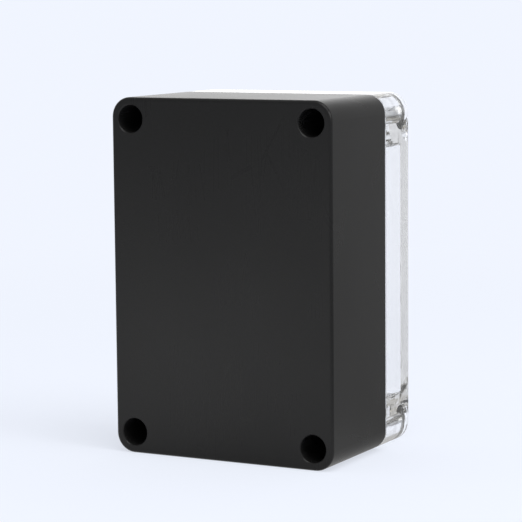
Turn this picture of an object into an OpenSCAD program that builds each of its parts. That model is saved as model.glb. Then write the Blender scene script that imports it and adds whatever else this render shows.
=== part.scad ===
// Moulded project box: a black tray with four corner pillars, a clear lid that is held down by
// four long screws through its corner columns, and a soft gasket in a groove inside the screws.
//
// Every piece is drawn lying on its mounting face: x across the width, y along the height and
// z forwards, from the mounting face (0) to the front of the lid. stand() turns it upright, so
// that the box stands on a short end with its lid towards -Y and its mounting face towards +Y.

/* [Case] */
// Width of the box across its short ends
case_w = 68; // [66:1:90]
// Height of the box along its long sides
case_h = 100; // [96:1:140]
// Depth of the tray from the mounting face to its rim
tray_d = 34; // [28:0.5:50]
// Depth of the lid from the tray's rim to its front face
lid_d = 16; // [12:0.5:20]
// Radius of the four upright corners
corner_r = 5.5; // [4:0.5:6.5]
// Roll of the edges round the mounting face and the front of the lid
edge_r = 1.0; // [0.4:0.1:1.2]
// Roll of the edges where the tray and the lid meet
rim_r = 0.25; // [0.1:0.05:0.4]

/* [Walls] */
// Thickness of the side walls of the tray and the lid
wall = 3.0; // [2.8:0.1:3.4]
// Thickness of the tray's floor
floor_t = 2.8; // [2.2:0.1:4]
// Thickness of the lid's front plate
plate_t = 4.0; // [3:0.1:5]
// Radius where the inside walls meet
inner_r = 1.0; // [0.5:0.25:2]

/* [Corner pillars] */
// Distance from the long sides to the screw axes
axis_inset_x = 6.0; // [5.9:0.1:7]
// Distance from the short ends to the screw axes
axis_inset_y = 6.0; // [5.9:0.1:7]
// Reach of a pillar beyond its screw axis, into the box
pillar_reach = 8.0; // [7.8:0.1:9]
// Radius of the pillar's nose
nose_r = 5.0; // [4:0.25:7]
// Diameter of the recess that opens each pillar at the mounting face
recess_dia = 7.7; // [6:0.1:8]
// Depth of that recess
recess_depth = 21; // [12:0.5:22]
// Diameter of the screw's way through the rest of the pillar
thread_bore_dia = 3.6; // [3.6:0.1:4]
// Chamfer round the mouths of the recesses and the wells
mouth_chamfer = 0.25; // [0.1:0.05:0.3]

/* [Lid columns] */
// Diameter of the wells that sink the screw heads into the lid
well_dia = 9.0; // [8.6:0.1:9.2]
// Depth of those wells
well_depth = 2.1; // [2.1:0.1:3]
// Diameter of the screw's way through the column
clear_bore_dia = 5.0; // [4:0.1:5.4]

/* [Seal] */
// Gap that the pressed gasket keeps between the tray's rim and the lid
joint_gap = 0.1; // [0.05:0.05:0.2]
// Land between the inside of the tray and the groove
groove_land = 0.7; // [0.6:0.05:0.8]
// Width of the groove
groove_w = 1.6; // [1.2:0.05:1.6]
// Depth of the groove
groove_depth = 2.4; // [2:0.1:3]
// Width of the lid's tongue that presses on the gasket
tongue_w = 1.1; // [0.8:0.05:1.1]
// Reach of that tongue below the tray's rim
tongue_h = 1.3; // [1:0.05:1.5]

/* [Board bosses] */
// Spacing of the board bosses across the width
boss_span_x = 50; // [40:1:50]
// Spacing of the board bosses along the height
boss_span_y = 60; // [40:1:60]
// Diameter of a board boss
boss_dia = 6; // [5:0.5:7]
// Height of a board boss above the floor
boss_h = 6; // [5.5:0.5:10]
// Diameter of the pilot hole in a board boss
pilot_dia = 2.5; // [2:0.1:3]

/* [Lid screws] */
// Diameter over the threads
screw_dia = 3.5; // [3:0.1:3.5]
// Length under the head
screw_length = 23; // [20:0.5:26]
// Diameter of the head
head_dia = 7.8; // [7:0.1:8.2]
// Height of the head
head_h = 1.9; // [1.7:0.1:2]
// Reach of the cross recess across the head
cross_span = 4.4; // [3.5:0.1:5]
// Width of a wing of the cross recess
cross_wing = 1.1; // [0.8:0.1:1.4]
// Depth of the cross recess
cross_depth = 1.5; // [1.2:0.1:1.6]

/* [Hidden] */
$fn = 96;

case_d = tray_d + lid_d;
axis_x = case_w / 2 - axis_inset_x;
axis_y = case_h / 2 - axis_inset_y;
joint_z = tray_d + joint_gap;
seat_z = case_d - well_depth;
gasket_h = groove_depth - tongue_h;
tongue_inset = (groove_w - tongue_w) / 2;
gusset_t = 1.2;
gusset_reach = 4;
gusset_drop = 1;
pilot_depth = 5;
head_dome_r = 9;
point_h = 1.2;
point_dia = 2;
through = 1;

// Turns a piece from its lying position to the upright box.
module stand() {
    translate([0, case_d / 2, case_h / 2]) rotate([90, 0, 0]) children();
}

// Repeats a piece at both signs of both plan directions.
module at_corners(x, y) {
    for (sx = [-1, 1], sy = [-1, 1]) translate([sx * x, sy * y, 0]) children();
}

// --- Plan outlines -------------------------------------------------------------------------

module rounded_rect(w, h, r) {
    square([w - 2 * r, h], center = true);
    square([w, h - 2 * r], center = true);
    at_corners(w / 2 - r, h / 2 - r) circle(r);
}

// The inside space in plan, grown outwards by g. It is a cross with rounded ends, whose four
// inward corners follow the pillars' noses, so that every growth keeps its distance.
module inside_outline(g = 0) {
    half_x = axis_x - pillar_reach + g;
    half_y = axis_y - pillar_reach + g;
    nose = nose_r - g;
    rounded_rect(case_w - 2 * wall + 2 * g, 2 * half_y, inner_r + g);
    rounded_rect(2 * half_x, case_h - 2 * wall + 2 * g, inner_r + g);
    for (sx = [-1, 1], sy = [-1, 1]) scale([sx, sy]) difference() {
        translate([half_x - inner_r, half_y - inner_r]) square(nose + inner_r);
        translate([half_x + nose, half_y + nose]) circle(nose);
    }
}

// A closed band that follows the inside space, from one growth to another.
module seal_band(inner, outer) {
    difference() {
        inside_outline(outer);
        inside_outline(inner);
    }
}

// --- Solids with rolled edges ----------------------------------------------------------------

// Section of a wall's outer part: run out from the corner's centre and d deep, with its lower
// edge rolled by edge_r and its upper edge by rim_r.
module rolled_section(run, d) {
    square([run - edge_r, d]);
    translate([0, edge_r]) square([run - rim_r, d - edge_r]);
    translate([0, edge_r]) square([run, d - edge_r - rim_r]);
    translate([run - edge_r, edge_r]) circle(edge_r);
    translate([run - rim_r, d - rim_r]) circle(rim_r);
}

// A slab with upright corners of corner_r and rolled edges all round.
module rolled_slab(w, h, d) {
    core_w = w - 2 * corner_r;
    core_h = h - 2 * corner_r;
    translate([-core_w / 2, -core_h / 2, 0]) cube([core_w, core_h, d]);
    for (side = [0, 1]) rotate(180 * side) {
        translate([core_w / 2, core_h / 2, 0]) rotate([90, 0, 0])
            linear_extrude(core_h) rolled_section(corner_r, d);
        translate([-core_w / 2, core_h / 2, 0]) rotate([90, 0, 90])
            linear_extrude(core_w) rolled_section(corner_r, d);
        translate([core_w / 2, core_h / 2, 0])
            rotate_extrude(angle = 90) rolled_section(corner_r, d);
        translate([-core_w / 2, core_h / 2, 0]) rotate(90)
            rotate_extrude(angle = 90) rolled_section(corner_r, d);
    }
}

// The cut for a round hole that sinks h deep from z = 0 and has a chamfered mouth.
module sunk_hole(d, h) {
    flare = mouth_chamfer + through;
    translate([0, 0, -through]) cylinder(d = d, h = h + through);
    translate([0, 0, -through]) cylinder(d1 = d + 2 * flare, d2 = d, h = flare);
}

// --- Tray --------------------------------------------------------------------------------------

// One board boss with two gussets and a pilot hole, standing on the floor.
module board_boss() {
    difference() {
        union() {
            cylinder(d = boss_dia, h = boss_h);
            for (turn = [0, 90]) rotate(turn) boss_gusset();
        }
        translate([0, 0, boss_h - pilot_depth]) cylinder(d = pilot_dia, h = pilot_depth + through);
    }
}

// A thin sloping web that props a boss from one side.
module boss_gusset() {
    translate([0, gusset_t / 2, 0]) rotate([90, 0, 0]) linear_extrude(gusset_t)
        polygon([[pilot_dia, 0], [boss_dia / 2 + gusset_reach, 0],
                 [boss_dia / 2, boss_h - gusset_drop], [pilot_dia, boss_h - gusset_drop]]);
}

module base_shell() {
    color("#26272a") stand() {
        difference() {
            rolled_slab(case_w, case_h, tray_d);
            translate([0, 0, floor_t]) linear_extrude(tray_d) inside_outline();
            translate([0, 0, tray_d - groove_depth])
                linear_extrude(groove_depth + through) seal_band(groove_land, groove_land + groove_w);
            at_corners(axis_x, axis_y) {
                sunk_hole(recess_dia, recess_depth);
                cylinder(d = thread_bore_dia, h = tray_d + through);
            }
        }
        translate([0, 0, floor_t]) for (sx = [0, 1], sy = [0, 1])
            mirror([sx, 0, 0]) mirror([0, sy, 0])
                translate([boss_span_x / 2, boss_span_y / 2, 0]) board_boss();
    }
}

// --- Lid ---------------------------------------------------------------------------------------

// The cut for one screw: a well for its head in the front, and its way through the column.
module screw_way() {
    translate([0, 0, case_d]) mirror([0, 0, 1]) sunk_hole(well_dia, well_depth);
    translate([0, 0, tray_d]) cylinder(d = clear_bore_dia, h = lid_d);
}

module clear_lid() {
    color([0.86, 0.90, 0.93, 0.35]) stand() {
        difference() {
            translate([0, 0, case_d]) mirror([0, 0, 1])
                rolled_slab(case_w, case_h, case_d - joint_z);
            translate([0, 0, tray_d]) linear_extrude(lid_d - plate_t) inside_outline();
            at_corners(axis_x, axis_y) screw_way();
        }
        translate([0, 0, tray_d - tongue_h]) linear_extrude(tongue_h + joint_gap)
            seal_band(groove_land + tongue_inset, groove_land + groove_w - tongue_inset);
    }
}

// --- Gasket ------------------------------------------------------------------------------------

module lid_gasket() {
    color("#8d9094") stand()
        translate([0, 0, tray_d - groove_depth]) linear_extrude(gasket_h)
            seal_band(groove_land, groove_land + groove_w);
}

// --- Screws ------------------------------------------------------------------------------------

// Low head with a domed top, seated at z = 0.
module low_head() {
    intersection() {
        cylinder(d = head_dia, h = head_h);
        translate([0, 0, head_h - head_dome_r]) sphere(head_dome_r);
    }
}

// Four wings that narrow with depth, as a cross-head driver leaves them.
module cross_recess() {
    intersection() {
        translate([0, 0, head_h - cross_depth]) linear_extrude(cross_depth + through) {
            square([cross_span, cross_wing], center = true);
            square([cross_wing, cross_span], center = true);
        }
        translate([0, 0, head_h - cross_depth])
            cylinder(d1 = cross_wing, d2 = cross_span + 1, h = cross_depth + through);
    }
}

// A lid screw in its well, at the corner given by the two signs.
module lid_screw(sx, sy) {
    shank_h = screw_length - point_h;
    color("silver") stand() translate([sx * axis_x, sy * axis_y, seat_z]) {
        difference() {
            low_head();
            cross_recess();
        }
        translate([0, 0, -shank_h]) cylinder(d = screw_dia, h = shank_h);
        translate([0, 0, -screw_length]) cylinder(d1 = point_dia, d2 = screw_dia, h = point_h);
    }
}

base_shell();
clear_lid();
lid_gasket();
lid_screw(-1, 1);  // lid_screw_top_left
lid_screw(1, 1);  // lid_screw_top_right
lid_screw(-1, -1);  // lid_screw_bottom_left
lid_screw(1, -1);  // lid_screw_bottom_right
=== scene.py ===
import math

import bmesh
import bpy
from mathutils import Matrix, Vector


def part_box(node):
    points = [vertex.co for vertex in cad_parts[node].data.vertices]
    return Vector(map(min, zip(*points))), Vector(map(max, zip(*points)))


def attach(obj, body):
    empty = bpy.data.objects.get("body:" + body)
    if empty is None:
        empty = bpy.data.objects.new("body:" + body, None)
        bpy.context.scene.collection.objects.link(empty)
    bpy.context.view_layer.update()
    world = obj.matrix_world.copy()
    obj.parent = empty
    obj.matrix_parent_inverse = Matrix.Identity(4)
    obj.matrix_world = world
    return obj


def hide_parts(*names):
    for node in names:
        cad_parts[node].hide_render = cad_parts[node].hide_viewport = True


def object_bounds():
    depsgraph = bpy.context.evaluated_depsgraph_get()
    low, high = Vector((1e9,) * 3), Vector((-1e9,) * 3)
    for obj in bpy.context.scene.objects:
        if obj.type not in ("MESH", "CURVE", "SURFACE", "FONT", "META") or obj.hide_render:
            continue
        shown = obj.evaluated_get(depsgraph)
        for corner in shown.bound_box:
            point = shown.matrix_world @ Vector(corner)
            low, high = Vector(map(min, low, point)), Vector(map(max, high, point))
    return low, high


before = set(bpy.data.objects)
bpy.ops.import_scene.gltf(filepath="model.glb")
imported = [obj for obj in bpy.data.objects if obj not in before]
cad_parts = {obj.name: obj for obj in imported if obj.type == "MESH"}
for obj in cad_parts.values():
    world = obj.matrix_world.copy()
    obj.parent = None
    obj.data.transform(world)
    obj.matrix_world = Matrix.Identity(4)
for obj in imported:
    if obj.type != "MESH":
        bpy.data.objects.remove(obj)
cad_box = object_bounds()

MM = 0.001

# The view: from behind and a little above, turned so that one long side shows on the right.
# Angles are in degrees. The aim is beside the middle of the rear face, to the right and up.
VIEW_AZIMUTH = 208.05
VIEW_ELEVATION = 6.92
VIEW_ROLL = -0.505
VIEW_DISTANCE = 614.9 * MM
VIEW_LENS = 155.27
AIM_RIGHT = 11.15 * MM
AIM_UP = 5.75 * MM

# Colours of the studio: its backdrop, the backdrop in gloss, and the light that it sheds.
PALE = (0.876, 0.913, 1.0, 1.0)
PLAIN = (0.95, 0.95, 0.95, 1.0)
DAYLIGHT = (0.95, 0.97, 1.0, 1.0)
DAYLIGHT_LEVEL = 0.6

# Levels of the backdrop, beside 1 where the camera sees it plainly. Through the clear lid it is
# a little brighter. In gloss the room rises from behind the camera to its far side, where a
# screen stands. A turn is how far a direction faces that side, from -1 to 1.
THROUGH_LID = 1.13
FAR_SIDE = (0.47, -0.88, 0.1)
ROOM_NEAR = 0.35
ROOM_FAR = 0.57
ROOM_TURNS = (-0.5, 0.4)
SCREEN = 1.5
SCREEN_TURNS = (0.78, 0.98)

# The floor, in metres. In gloss it has painted light: it rises towards the far side and has a painted
# pool of light, and painted shade makes it darker under the box. To the camera it keeps a share of the
# box's real shadow close by.
FLOOR_RADIUS = 3.0
FLOOR_NEAR = 0.3
FLOOR_FAR = 0.48
FLOOR_REACH = (-0.6, 0.1)
PAINTED_LIGHT_POOL = 1.4
PAINTED_LIGHT_POOL_PLACE = (0.14, 0.31, 0.0)
PAINTED_LIGHT_POOL_REACH = (0.17, 0.4)
PAINTED_SHADE_UNDER_BOX = 0.8
PAINTED_SHADE_UNDER_BOX_REACH = (0.035, 0.055)
SHADOW_SHARE = 0.33
SHADOW_REACH = (0.1, 0.5)

# The heads of the lid screws, in millimetres. Heights start at the seat in the lid: a straight
# side, a rounded edge, and a low dome that ends at the top.
HEAD_R = 4.15
HEAD_SIDE = 1.0
HEAD_TOP = 1.9
HEAD_EDGE = 0.25
SEAT_EDGE = 0.12
SOFT_EDGE = 0.06
SUNK = 0.02

# Their cross recesses: half the length and half the width of a wing, at the floor of the recess
# and at the top of its cutter, which stands above the head.
RECESS_DEPTH = 1.4
WING_FLOOR = (0.945, 0.3)
WING_TOP = (2.31, 0.55)
CUTTER_RISE = 0.3

# Their shanks, which run just clear of the bores in the tray's pillars. The ridge is the share
# of the thread's full height, in even steps along one pitch.
SCREW_LENGTH = 23.0
NECK_R = 2.35
NECK_TOP = 0.4
NECK_DROP = 1.4
SHANK_R = 1.45
THREAD_R = 1.74
THREAD_ROOT_R = 1.3
THREAD_PITCH = 1.3
THREAD_START = 11.5
THREAD_RUN_IN = 0.78
THREAD_RUN_OUT = 2.08
THREAD_RIDGE = (0.0, 0.0, 0.15, 0.6, 1.0, 0.6, 0.15, 0.0)
TIP_R = 0.55
POINT_LENGTH = 1.2

# How finely the screws' round forms are drawn.
HEAD_STEPS = 72
EDGE_STEPS = 5
DOME_STEPS = 8
SHANK_STEPS = 36

CORNERS = {"top_left": (-1, 1), "top_right": (1, 1), "bottom_left": (-1, -1), "bottom_right": (1, -1)}

lo, hi = cad_box
CENTRE = (lo + hi) / 2


# --- Node helpers ---------------------------------------------------------------------------


def node(tree, kind, values=None, **settings):
    """A node with its settings and the values of its inputs."""
    made = tree.nodes.new(kind)
    for key, value in settings.items():
        setattr(made, key, value)
    for key, value in (values or {}).items():
        made.inputs[key].default_value = value
    return made


def link(tree, source, target):
    """Joins an output to an input."""
    tree.links.new(source, target)


def new_material(name):
    """An empty node material: its tree, a Principled shader and the output."""
    material = bpy.data.materials.new(name)
    material.use_nodes = True
    tree = material.node_tree
    tree.nodes.clear()
    output = node(tree, "ShaderNodeOutputMaterial")
    shader = node(tree, "ShaderNodeBsdfPrincipled")
    link(tree, shader.outputs["BSDF"], output.inputs["Surface"])
    return material, tree, shader, output


def maths(tree, operation, first, second):
    """A Math node whose two inputs are sockets or numbers."""
    made = node(tree, "ShaderNodeMath", operation=operation)
    for socket, value in zip(made.inputs, (first, second)):
        if isinstance(value, (int, float)):
            socket.default_value = value
        else:
            link(tree, value, socket)
    return made.outputs[0]


def measured(tree, operation, place, other=(0.0, 0.0, 0.0)):
    """A place's distance from the origin or from another place, or its dot product with one."""
    made = node(tree, "ShaderNodeVectorMath", {1: other}, operation=operation)
    link(tree, place, made.inputs[0])
    return made.outputs["Value"]


def spread(tree, value, reach, result=(0.0, 1.0), **settings):
    """Maps a value from one range to another, held at both ends."""
    made = node(tree, "ShaderNodeMapRange", {"From Min": reach[0], "From Max": reach[1],
                                             "To Min": result[0], "To Max": result[1]}, **settings)
    link(tree, value, made.inputs["Value"])
    return made.outputs[0]


def blend_colours(tree, factor, first, second):
    """The first colour where the factor is 0, and the second where it is 1."""
    made = node(tree, "ShaderNodeMix", {6: first, 7: second}, data_type="RGBA")
    link(tree, factor, made.inputs[0])
    return made.outputs[2]


def blend_shaders(tree, factor, first, second):
    """The first shader where the factor is 0, and the second where it is 1."""
    made = node(tree, "ShaderNodeMixShader")
    for socket, source in zip(made.inputs, (factor, first, second)):
        link(tree, source, socket)
    return made.outputs[0]


def own_place(tree):
    """The place on the piece, in metres, which moves with the piece."""
    return node(tree, "ShaderNodeTexCoord").outputs["Object"]


def relief(tree, height, distance):
    """A normal that is raised by a height between 0 and 1 times a distance in metres."""
    made = node(tree, "ShaderNodeBump", {"Distance": distance, "Strength": 1.0})
    link(tree, height, made.inputs["Height"])
    return made.outputs["Normal"]


def new_group(name, inputs, outputs):
    """A shader node group with named number inputs and outputs, and a vector called Place."""
    group = bpy.data.node_groups.new(name, "ShaderNodeTree")
    group.interface.new_socket("Place", in_out="INPUT", socket_type="NodeSocketVector")
    for label, value in inputs.items():
        socket = group.interface.new_socket(label, in_out="INPUT", socket_type="NodeSocketFloat")
        socket.default_value = value
    for label in outputs:
        group.interface.new_socket(label, in_out="OUTPUT", socket_type="NodeSocketFloat")
    return group, node(group, "NodeGroupInput").outputs, node(group, "NodeGroupOutput").inputs


def place_group(tree, group, place, values):
    """The group in a material, with its own values, laid on the piece by its place."""
    made = node(tree, "ShaderNodeGroup", values, node_tree=group)
    link(tree, place, made.inputs["Place"])
    return made.outputs


# --- Effects that more than one finish uses --------------------------------------------------


def moulded_grain():
    """The fine pits that a spark-eroded mould leaves: a height, and a mask of the smooth tops."""
    group, given, out = new_group("moulded_grain", {"Grain Size": 0.0003, "Softness": 0.5},
                                  ["Height", "Tops"])
    scale = maths(group, "DIVIDE", 1.0, given["Grain Size"])
    rough = node(group, "ShaderNodeTexNoise", {"Detail": 3.0})
    cells = node(group, "ShaderNodeTexVoronoi", feature="SMOOTH_F1")
    for texture in (rough, cells):
        link(group, given["Place"], texture.inputs["Vector"])
        link(group, scale, texture.inputs["Scale"])
    link(group, given["Softness"], cells.inputs["Smoothness"])
    pits = maths(group, "MULTIPLY", rough.outputs[0], cells.outputs["Distance"])
    link(group, pits, out["Height"])
    link(group, spread(group, pits, (0.1, 0.45)), out["Tops"])
    return group


def slow_drift():
    """Broad soft changes over a piece, from 0 to 1: the flow of a moulding, the hold of a finish."""
    group, given, out = new_group("slow_drift", {"Size": 0.03, "Stretch": 1.0}, ["Drift"])
    squeeze = node(group, "ShaderNodeCombineXYZ", {"X": 1.0, "Y": 1.0})
    link(group, given["Stretch"], squeeze.inputs["Z"])
    laid = node(group, "ShaderNodeVectorMath", operation="MULTIPLY")
    link(group, given["Place"], laid.inputs[0])
    link(group, squeeze.outputs[0], laid.inputs[1])
    wave = node(group, "ShaderNodeTexNoise", {"Detail": 2.0, "Roughness": 0.45})
    link(group, laid.outputs[0], wave.inputs["Vector"])
    link(group, maths(group, "DIVIDE", 1.0, given["Size"]), wave.inputs["Scale"])
    link(group, spread(group, wave.outputs[0], (0.3, 0.7)), out["Drift"])
    return group


def hairlines():
    """Sparse fine scratches from handling, as a mask from 0 to 1."""
    group, given, out = new_group("hairlines", {"Spacing": 0.012, "Width": 0.012}, ["Marks"])
    lines = []
    for turn, squeeze in ((0.4, 14.0), (1.9, 11.0)):
        laid = node(group, "ShaderNodeMapping", vector_type="POINT")
        laid.inputs["Rotation"].default_value = (turn, 0.7 * turn, 1.3 * turn)
        laid.inputs["Scale"].default_value = (squeeze, 1.0, 1.0)
        link(group, given["Place"], laid.inputs["Vector"])
        cells = node(group, "ShaderNodeTexVoronoi", feature="DISTANCE_TO_EDGE")
        link(group, laid.outputs[0], cells.inputs["Vector"])
        link(group, maths(group, "DIVIDE", 0.3, given["Spacing"]), cells.inputs["Scale"])
        lines.append(maths(group, "LESS_THAN", cells.outputs["Distance"], given["Width"]))
    faint = node(group, "ShaderNodeTexNoise", {"Scale": 60.0, "Detail": 1.0})
    link(group, given["Place"], faint.inputs["Vector"])
    shown = spread(group, faint.outputs[0], (0.5, 0.7))
    link(group, maths(group, "MULTIPLY", maths(group, "MAXIMUM", *lines), shown), out["Marks"])
    return group


GRAIN = moulded_grain()
DRIFT = slow_drift()
HAIRLINES = hairlines()


# --- Finishes --------------------------------------------------------------------------------


def two_part_tone(tree, grain, grain_share, drift):
    """A tone from 0 to 1 that takes a share from the grain's tops and the rest from the drift."""
    return maths(tree, "ADD", maths(tree, "MULTIPLY", grain["Tops"], grain_share),
                 maths(tree, "MULTIPLY", drift["Drift"], 1 - grain_share))


def finish_colour(tree, shader, tone, dark, light):
    """Gives the shader a colour between a dark and a light one."""
    link(tree, blend_colours(tree, tone, (*dark, 1.0), (*light, 1.0)), shader.inputs["Base Color"])


def finish_sheen(tree, shader, drift, roughness, marks=None, marks_add=0.0):
    """Gives the shader a roughness that drifts between two, and changes along the scratches."""
    rough = spread(tree, drift["Drift"], (0.0, 1.0), roughness)
    if marks:
        rough = maths(tree, "ADD", rough, maths(tree, "MULTIPLY", marks["Marks"], marks_add))
    link(tree, rough, shader.inputs["Roughness"])


def black_abs():
    """Black ABS with the fine satin grain of its mould."""
    material, tree, shader, _ = new_material("black_abs")
    place = own_place(tree)
    grain = place_group(tree, GRAIN, place, {"Grain Size": 0.00035})
    drift = place_group(tree, DRIFT, place, {"Size": 0.045})
    marks = place_group(tree, HAIRLINES, place, {"Spacing": 0.02, "Width": 0.01})
    finish_colour(tree, shader, two_part_tone(tree, grain, 0.5, drift),
                  dark=(0.011, 0.0108, 0.0106), light=(0.015, 0.0148, 0.0146))
    finish_sheen(tree, shader, drift, (0.31, 0.27), marks, marks_add=-0.06)
    link(tree, relief(tree, grain["Height"], 0.02 * MM), shader.inputs["Normal"])
    shader.inputs["Specular IOR Level"].default_value = 0.18
    return material


def clear_polycarbonate():
    """Polished clear polycarbonate, a little warm grey in the thick, which casts no dark shadow."""
    material, tree, shader, output = new_material("clear_polycarbonate")
    place = own_place(tree)
    drift = place_group(tree, DRIFT, place, {"Size": 0.012})
    marks = place_group(tree, HAIRLINES, place, {"Spacing": 0.016, "Width": 0.006})
    finish_colour(tree, shader, drift["Drift"], dark=(0.995, 0.995, 0.995), light=(1.0, 1.0, 1.0))
    finish_sheen(tree, shader, drift, (0.0, 0.03), marks, marks_add=0.12)
    link(tree, relief(tree, drift["Drift"], 0.02 * MM), shader.inputs["Normal"])
    shader.inputs["IOR"].default_value = 1.585
    shader.inputs["Transmission Weight"].default_value = 1.0
    in_shadow = node(tree, "ShaderNodeLightPath").outputs["Is Shadow Ray"]
    let_through = node(tree, "ShaderNodeBsdfTransparent").outputs[0]
    link(tree, blend_shaders(tree, in_shadow, shader.outputs[0], let_through),
         output.inputs["Surface"])
    thick = node(tree, "ShaderNodeVolumeAbsorption", {"Color": (0.63, 0.60, 0.53, 1), "Density": 8.5})
    link(tree, thick.outputs[0], output.inputs["Volume"])
    return material


def grey_silicone():
    """Matt grey silicone, faintly mottled."""
    material, tree, shader, _ = new_material("grey_silicone")
    place = own_place(tree)
    grain = place_group(tree, GRAIN, place, {"Grain Size": 0.0005, "Softness": 0.9})
    drift = place_group(tree, DRIFT, place, {"Size": 0.008})
    finish_colour(tree, shader, two_part_tone(tree, grain, 0.3, drift),
                  dark=(0.31, 0.315, 0.325), light=(0.38, 0.385, 0.395))
    finish_sheen(tree, shader, drift, (0.55, 0.7))
    link(tree, relief(tree, grain["Height"], 0.03 * MM), shader.inputs["Normal"])
    return material


def stainless_steel():
    """Bright stainless steel, very finely grained, with faint scratches."""
    material, tree, shader, _ = new_material("stainless_steel")
    place = own_place(tree)
    drift = place_group(tree, DRIFT, place, {"Size": 0.0015})
    grain = place_group(tree, GRAIN, place, {"Grain Size": 0.00012, "Softness": 0.3})
    marks = place_group(tree, HAIRLINES, place, {"Spacing": 0.003, "Width": 0.03})
    finish_colour(tree, shader, drift["Drift"], dark=(0.42, 0.42, 0.41), light=(0.52, 0.52, 0.51))
    finish_sheen(tree, shader, drift, (0.3, 0.4), marks, marks_add=0.15)
    link(tree, relief(tree, grain["Height"], 0.006 * MM), shader.inputs["Normal"])
    shader.inputs["Metallic"].default_value = 1.0
    return material


# --- Lid screws ------------------------------------------------------------------------------


def held(value):
    """The value, kept between 0 and 1."""
    return min(1.0, max(0.0, value))


def round_point(radius, part, height):
    """The place at a radius and a height, a part of a whole turn about Z."""
    turn = 2 * math.pi * part
    return radius * math.cos(turn), radius * math.sin(turn), height


def revolve(bm, profile, steps):
    """Turns a profile of (radius, height) pairs about Z; both ends lie on the axis."""
    rings = []
    for radius, height in profile:
        count = 1 if radius == 0 else steps
        rings.append([bm.verts.new(round_point(radius, k / steps, height)) for k in range(count)])
    for lower, upper in zip(rings, rings[1:]):
        for k in range(steps):
            n = (k + 1) % steps
            corners = [lower[k % len(lower)], lower[n % len(lower)],
                       upper[n % len(upper)], upper[k % len(upper)]]
            bm.faces.new(list(dict.fromkeys(corners)))


def head_profile():
    """Half section of the low domed head, from its seat to the middle of its top."""
    rim_r = HEAD_R - HEAD_EDGE
    rim_z = HEAD_SIDE + HEAD_EDGE
    points = [(0, 0), (HEAD_R - SEAT_EDGE, 0), (HEAD_R, SEAT_EDGE), (HEAD_R, HEAD_SIDE)]
    for k in range(1, EDGE_STEPS):
        turn = math.pi / 2 * k / EDGE_STEPS
        points.append((rim_r + HEAD_EDGE * math.cos(turn), HEAD_SIDE + HEAD_EDGE * math.sin(turn)))
    for k in range(DOME_STEPS + 1):
        part = 1 - k / DOME_STEPS
        points.append((part * rim_r, rim_z + (HEAD_TOP - rim_z) * (1 - part * part)))
    return points


def cross_cutter(bm):
    """The cross that a driver's tip fills: two crossed blades, narrower at the recess's floor."""
    levels = ((*WING_FLOOR, HEAD_TOP - RECESS_DEPTH), (*WING_TOP, HEAD_TOP + CUTTER_RISE))
    around = ((-1, -1), (1, -1), (1, 1), (-1, 1))
    for quarter in (0, 1):
        turned = Matrix.Rotation(quarter * math.pi / 2, 3, "Z")
        lower, upper = ([bm.verts.new(turned @ Vector((sx * reach, sy * half, z)))
                         for sx, sy in around] for reach, half, z in levels)
        bm.faces.new(lower[::-1])
        bm.faces.new(upper)
        for k in range(4):
            bm.faces.new((lower[k], lower[(k + 1) % 4], upper[(k + 1) % 4], upper[k]))


def shank_radius(z, ridge):
    """The shank's radius at a height, with the thread's ridge at a share of its full height."""
    from_tip = SCREW_LENGTH + z
    begin = held((-z - THREAD_START) / THREAD_RUN_IN)
    end = held(from_tip / THREAD_RUN_OUT)
    root = SHANK_R + (THREAD_ROOT_R - SHANK_R) * begin
    root = TIP_R + (root - TIP_R) * held(from_tip / POINT_LENGTH)
    flare = held(1 + z / NECK_DROP)
    root += (NECK_R - SHANK_R) * flare * flare
    return root + (THREAD_R - root) * ridge * begin * end


def threaded_shank(bm):
    """A flared neck and a plain shank under the head, then a rolled thread to a blunt point."""
    rows_per_turn = len(THREAD_RIDGE)
    row_h = THREAD_PITCH / rows_per_turn
    rows = int(SCREW_LENGTH / row_h) + rows_per_turn + 1
    grid = []
    for i in range(rows):
        ring = []
        for k in range(SHANK_STEPS):
            z = -(i - rows_per_turn + k * rows_per_turn / SHANK_STEPS) * row_h
            z = min(NECK_TOP, max(-SCREW_LENGTH, z))
            radius = shank_radius(z, THREAD_RIDGE[i % rows_per_turn])
            ring.append(bm.verts.new(round_point(radius, k / SHANK_STEPS, z)))
        grid.append(ring)
    for i in range(rows - 1):
        for k in range(SHANK_STEPS - 1):
            bm.faces.new((grid[i][k], grid[i + 1][k], grid[i + 1][k + 1], grid[i][k + 1]))
        j = i + rows_per_turn
        if j + 1 < rows:
            bm.faces.new((grid[i][-1], grid[i + 1][-1], grid[j + 1][0], grid[j][0]))
    bmesh.ops.remove_doubles(bm, verts=bm.verts, dist=0.0005)
    bmesh.ops.dissolve_degenerate(bm, edges=bm.edges, dist=0.0005)
    bmesh.ops.holes_fill(bm, edges=[edge for edge in bm.edges if edge.is_boundary], sides=0)
    bmesh.ops.recalc_face_normals(bm, faces=bm.faces)


def taken_mesh(bm, name):
    """The finished work as a mesh, which leaves the bench clear for the next piece."""
    mesh = bpy.data.meshes.new(name)
    bm.to_mesh(mesh)
    bm.clear()
    return mesh


def helper(name, mesh):
    """An object that only lends its shape to a modifier."""
    made = bpy.data.objects.new(name, mesh)
    bpy.context.collection.objects.link(made)
    return made


def applied(mesh, modifiers):
    """The mesh with modifiers applied. Each is its kind and its settings."""
    holder = helper("holder", mesh)
    for kind, settings in modifiers:
        modifier = holder.modifiers.new(kind, kind)
        for key, value in settings.items():
            setattr(modifier, key, value)
    bpy.context.view_layer.update()
    shape = holder.evaluated_get(bpy.context.evaluated_depsgraph_get())
    made = bpy.data.meshes.new_from_object(shape)
    bpy.data.objects.remove(holder)
    return made


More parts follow.
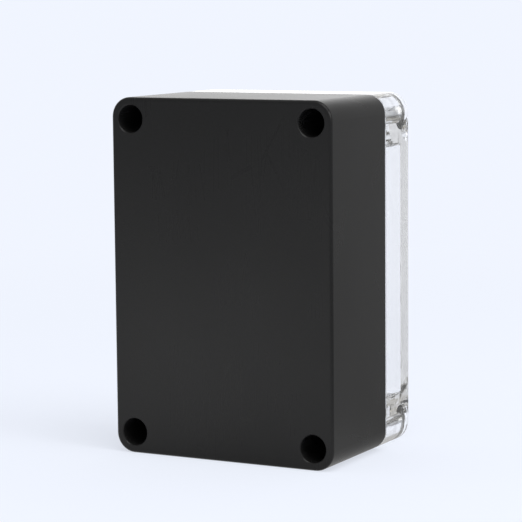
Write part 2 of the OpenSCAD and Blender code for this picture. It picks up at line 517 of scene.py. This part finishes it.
def screw_mesh():
    """A lid screw standing on its seat at the origin, with its head up, in metres."""
    bm = bmesh.new()
    revolve(bm, head_profile(), HEAD_STEPS)
    head = taken_mesh(bm, "screw_head")
    threaded_shank(bm)
    thread = helper("screw_shank", taken_mesh(bm, "screw_shank"))
    cross_cutter(bm)
    cutter = helper("cross_cutter", taken_mesh(bm, "cross_cutter"))
    cut = {"operation": "DIFFERENCE", "object": cutter, "solver": "EXACT", "use_self": True}
    soften = {"width": SOFT_EDGE, "segments": 2, "angle_limit": math.radians(38)}
    join = {"operation": "UNION", "object": thread, "solver": "EXACT"}
    head = applied(head, [("BOOLEAN", cut), ("BEVEL", soften)])
    bm.from_mesh(applied(head, [("BOOLEAN", join)]))
    bpy.data.objects.remove(cutter)
    bpy.data.objects.remove(thread)
    bmesh.ops.dissolve_degenerate(bm, edges=bm.edges, dist=0.0003)
    for face in bm.faces:
        face.smooth = True
    bmesh.ops.scale(bm, vec=(MM, MM, MM), verts=bm.verts)
    mesh = taken_mesh(bm, "lid_screw")
    bm.free()
    mesh.set_sharp_from_angle(angle=math.radians(35))
    return mesh


def fit_screws(steel):
    """Puts a threaded screw, at a turn of its own, in place of each plain one, a hair into its seat."""
    pattern = screw_mesh()
    upright = Matrix.Rotation(math.pi / 2, 4, "X")
    for name, (side, end) in CORNERS.items():
        low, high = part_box("lid_screw_" + name)
        seat_y = high.y - SCREW_LENGTH * MM
        stopped = Matrix.Rotation(0.5 * side + 0.9 * end, 4, "Z")
        middle = Vector(((low.x + high.x) / 2, seat_y + SUNK * MM, (low.z + high.z) / 2))
        mesh = pattern.copy()
        mesh.transform(Matrix.Translation(middle) @ upright @ stopped)
        screw = bpy.data.objects.new("threaded_screw_" + name, mesh)
        bpy.context.collection.objects.link(screw)
        mesh.materials.append(steel)
        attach(screw, "screw_" + name)
        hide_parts("lid_screw_" + name)


# --- Stage -----------------------------------------------------------------------------------


def backdrop_rays(tree):
    """Masks of the rays that show the backdrop: all of them, those through the lid, and gloss."""
    path = node(tree, "ShaderNodeLightPath").outputs
    glossy = path["Is Glossy Ray"]
    passed = path["Is Transmission Ray"]
    direct = maths(tree, "MAXIMUM", path["Is Camera Ray"], passed)
    gloss = maths(tree, "SUBTRACT", glossy, maths(tree, "MULTIPLY", glossy, passed))
    return maths(tree, "MAXIMUM", direct, glossy), passed, gloss


def backdrop_glow(tree, kind, passed, gloss, level):
    """The backdrop's light: 1 to the camera, more through the lid, and its own level in gloss."""
    glow = node(tree, kind)
    link(tree, blend_colours(tree, gloss, PALE, PLAIN), glow.inputs["Color"])
    bright = maths(tree, "MULTIPLY", gloss, maths(tree, "SUBTRACT", level, 1.0))
    bright = maths(tree, "ADD", bright, maths(tree, "MULTIPLY", passed, THROUGH_LID - 1))
    link(tree, maths(tree, "ADD", bright, 1.0), glow.inputs["Strength"])
    return glow.outputs[0]


def pale_floor():
    """A wide pale floor that keeps a soft shadow, with painted light and shade of its own where gloss
    shows it.
    """
    bpy.ops.mesh.primitive_circle_add(vertices=96, radius=FLOOR_RADIUS, fill_type="NGON")
    floor = bpy.context.object
    floor.name = "floor"
    material, tree, shader, output = new_material("pale_floor")
    shader.inputs["Base Color"].default_value = PALE
    shader.inputs["Roughness"].default_value = 0.9
    shader.inputs["Specular IOR Level"].default_value = 0.0
    shows, passed, gloss = backdrop_rays(tree)
    place = node(tree, "ShaderNodeNewGeometry").outputs["Position"]
    away = measured(tree, "LENGTH", place)
    # Painted light: in gloss the floor grows brighter towards the far side.
    painted_light_rise = spread(tree, measured(tree, "DOT_PRODUCT", place, FAR_SIDE), FLOOR_REACH,
                  (FLOOR_NEAR, FLOOR_FAR))
    # A painted pool of light, which gloss shows on the floor.
    painted_light_pool = spread(tree, measured(tree, "DISTANCE", place, PAINTED_LIGHT_POOL_PLACE), PAINTED_LIGHT_POOL_REACH, (PAINTED_LIGHT_POOL, 0.0))
    # Painted shade: in gloss the floor is darker close round the box and under it.
    painted_shade_under_box = spread(tree, away, PAINTED_SHADE_UNDER_BOX_REACH, (PAINTED_SHADE_UNDER_BOX, 1.0))
    level = maths(tree, "MULTIPLY", maths(tree, "ADD", painted_light_rise, painted_light_pool), painted_shade_under_box)
    seen = backdrop_glow(tree, "ShaderNodeEmission", passed, gloss, level)
    shadow = spread(tree, away, SHADOW_REACH, (SHADOW_SHARE, 0.0), interpolation_type="SMOOTHSTEP")
    shaded = maths(tree, "MULTIPLY", shadow, maths(tree, "SUBTRACT", 1.0, gloss))
    backdrop = blend_shaders(tree, shaded, seen, shader.outputs[0])
    link(tree, blend_shaders(tree, shows, shader.outputs[0], backdrop), output.inputs["Surface"])
    floor.data.materials.append(material)


def pale_world():
    """A pale room, which gloss shows bright on one side, where its lit screen stands."""
    world = bpy.data.worlds.new("pale_world")
    bpy.context.scene.world = world
    world.use_nodes = True
    tree = world.node_tree
    tree.nodes.clear()
    output = node(tree, "ShaderNodeOutputWorld")
    shows, passed, gloss = backdrop_rays(tree)
    direction = node(tree, "ShaderNodeTexCoord").outputs["Generated"]
    facing = measured(tree, "DOT_PRODUCT", direction, FAR_SIDE)
    level = maths(tree, "ADD", spread(tree, facing, ROOM_TURNS, (ROOM_NEAR, ROOM_FAR)),
                  spread(tree, facing, SCREEN_TURNS, (0.0, SCREEN - ROOM_FAR)))
    seen = backdrop_glow(tree, "ShaderNodeBackground", passed, gloss, level)
    light = node(tree, "ShaderNodeBackground", {"Color": DAYLIGHT, "Strength": DAYLIGHT_LEVEL})
    link(tree, blend_shaders(tree, shows, light.outputs[0], seen), output.inputs["Surface"])


def soft_lamp(name, place, size, watts):
    """A round soft lamp, as wide as its size in metres, that faces the middle of the box."""
    data = bpy.data.lights.new(name, "AREA")
    data.shape = "DISK"
    data.size = size
    data.energy = watts
    lamp = bpy.data.objects.new(name, data)
    bpy.context.collection.objects.link(lamp)
    lamp.location = place
    lamp.rotation_mode = "QUATERNION"
    lamp.rotation_quaternion = (Vector(place) - CENTRE).to_track_quat("Z", "Y")


def studio_camera():
    """The camera, set from the view's angles and aim."""
    turn, tilt, roll = (math.radians(v) for v in (VIEW_AZIMUTH, VIEW_ELEVATION, VIEW_ROLL))
    back = Vector((math.sin(turn) * math.cos(tilt), -math.cos(turn) * math.cos(tilt), math.sin(tilt)))
    level = Vector((math.cos(turn), math.sin(turn), 0))
    upright = back.cross(level)
    right = math.cos(roll) * level + math.sin(roll) * upright
    up = -math.sin(roll) * level + math.cos(roll) * upright
    data = bpy.data.cameras.new("camera")
    data.lens = VIEW_LENS
    data.sensor_width = 36
    data.clip_start = 0.01
    data.clip_end = 50
    camera = bpy.data.objects.new("camera", data)
    bpy.context.collection.objects.link(camera)
    rear_centre = Vector((CENTRE.x, hi.y, CENTRE.z))
    place = rear_centre + back * VIEW_DISTANCE + right * AIM_RIGHT + up * AIM_UP
    turned = Matrix((right, up, back)).transposed().to_4x4()
    camera.matrix_world = Matrix.Translation(place) @ turned
    bpy.context.scene.camera = camera


# --- The box ---------------------------------------------------------------------------------


def dress(name, material):
    """Gives a carried-over CAD node its material."""
    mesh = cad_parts[name].data
    mesh.materials.clear()
    mesh.materials.append(material)


dress("base_shell", black_abs())
dress("clear_lid", clear_polycarbonate())
dress("lid_gasket", grey_silicone())
fit_screws(stainless_steel())

pale_floor()
pale_world()
studio_camera()
soft_lamp("high_lamp", place=(-0.5, 0.4, 1.5), size=1.2, watts=11)
soft_lamp("side_lamp", place=(-1.4, 0.2, 0.8), size=0.8, watts=8)
bpy.context.scene.view_settings.view_transform = "Standard"
cycles = bpy.context.scene.cycles
cycles.max_bounces = 48
cycles.glossy_bounces = 40
cycles.transmission_bounces = 40
